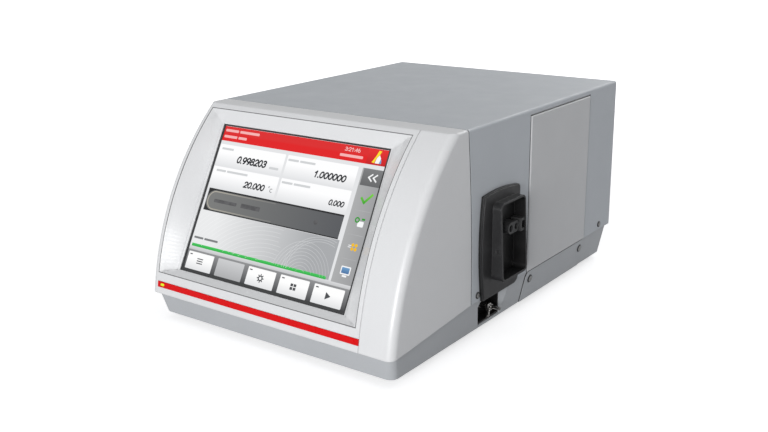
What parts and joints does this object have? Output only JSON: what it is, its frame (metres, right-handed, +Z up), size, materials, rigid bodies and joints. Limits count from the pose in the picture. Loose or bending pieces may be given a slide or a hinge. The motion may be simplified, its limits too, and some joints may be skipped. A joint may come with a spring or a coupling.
{
  "type": "benchtop density meter",
  "caption": "Benchtop density meter with an arched front holding a sunk touch screen, and a hooded filling adapter with sample ports on its right side.",
  "frame": {"origin": "middle of the overall box on the bench surface, under the housing", "axes": "+X to the right as the user faces the screen, towards the filling adapter; +Y to the rear; +Z up"},
  "size_m": [0.3492, 0.488, 0.23],
  "materials": {
    "bezel_paint": "satin silver-white lacquer on moulded plastic",
    "cover_paint": "fine-textured blue-grey powder coat",
    "door_paint": "fine-textured warm grey powder coat",
    "base_paint": "fine-textured grey powder coat",
    "adapter_black": "satin black moulding",
    "nose_black": "fine-grained dark grey moulding",
    "screen_glass": "clear touch glass over a dark display",
    "display_black": "matt black",
    "strip_red": "glossy red",
    "lens_green": "frosted yellow-green lens",
    "zinc_sheet": "zinc-plated sheet",
    "screw_steel": "plated steel",
    "washer_black": "black",
    "aluminium": "machined",
    "nickel": "nickel-plated",
    "cell_glass": "clear borosilicate",
    "ceramic": "white ceramic",
    "ptfe": "white, waxy",
    "board_green": "solder mask",
    "brass": "turned",
    "contact_gold": "plated contacts",
    "rubber_black": "matt rubber",
    "hose_clear": "translucent silicone",
    "pump_grey": "dark housing",
    "inlet_black": "moulded black",
    "fan_black": "moulded black",
    "guard_wire": "plated wire",
    "port_shell": "tinned shell"
  },
  "bodies": {
    "housing": {"front_bezel": "bezel_paint", "screen_gasket": "display_black", "touch_glass": "screen_glass", "display_module": "display_black", "display_bracket": "zinc_sheet", "display_board": "board_green", "trim_strip": "strip_red", "status_lens": "lens_green", "top_cover": "cover_paint", "base_tray": "base_paint", "base_feet": "rubber_black", "foot_screws": "screw_steel", "chassis": "zinc_sheet", "rear_panel": "cover_paint", "bay_door": "door_paint", "bay_plate": "zinc_sheet", "base_flap": "base_paint", "cup_washers": "washer_black", "housing_screws": "screw_steel", "adapter_hood": "adapter_black", "filling_adapter": "nose_black", "port_block": "nose_black", "port_seals": "rubber_black", "adapter_clip": "nose_black", "pocket_liner": "adapter_black", "outlet_nozzle": "nickel", "measuring_tube": "cell_glass", "tube_sleeves": "ptfe", "cell_jacket": "cell_glass", "cell_cap": "aluminium", "thermostat_block": "aluminium", "peltier_plates": "ceramic", "heat_sink": "aluminium", "cell_bracket": "zinc_sheet", "cell_camera": "display_black", "main_board": "board_green", "io_board": "board_green", "board_spacers": "brass", "power_supply": "zinc_sheet", "air_pump": "pump_grey", "pump_hose": "hose_clear", "power_inlet": "inlet_black", "inlet_pins": "contact_gold", "fan_frame": "fan_black", "fan_guard": "guard_wire", "usb_ports": "port_shell", "lan_port": "port_shell", "serial_ports": "port_shell", "rear_screws": "screw_steel"},
    "rocker": {"switch_rocker": "inlet_black"},
    "drawer": {"fuse_drawer": "inlet_black", "fuses": "ceramic"},
    "rotor": {"fan_rotor": "fan_black"}
  },
  "joints": [
    {"name": "rocker_tilt", "type": "hinge", "parent": "housing", "child": "rocker", "pos_m": [-0.1264, 0.237, 0.104], "axis": [-1, 0, 0], "range_deg": [0, 14]},
    {"name": "drawer_slide", "type": "slide", "parent": "housing", "child": "drawer", "axis": [0, 1, 0], "range_m": [0, 0.016]},
    {"name": "rotor_spin", "type": "hinge", "parent": "housing", "child": "rotor", "pos_m": [0.0796, 0.2235, 0.158], "axis": [0, 1, 0], "continuous": true}
  ]
}
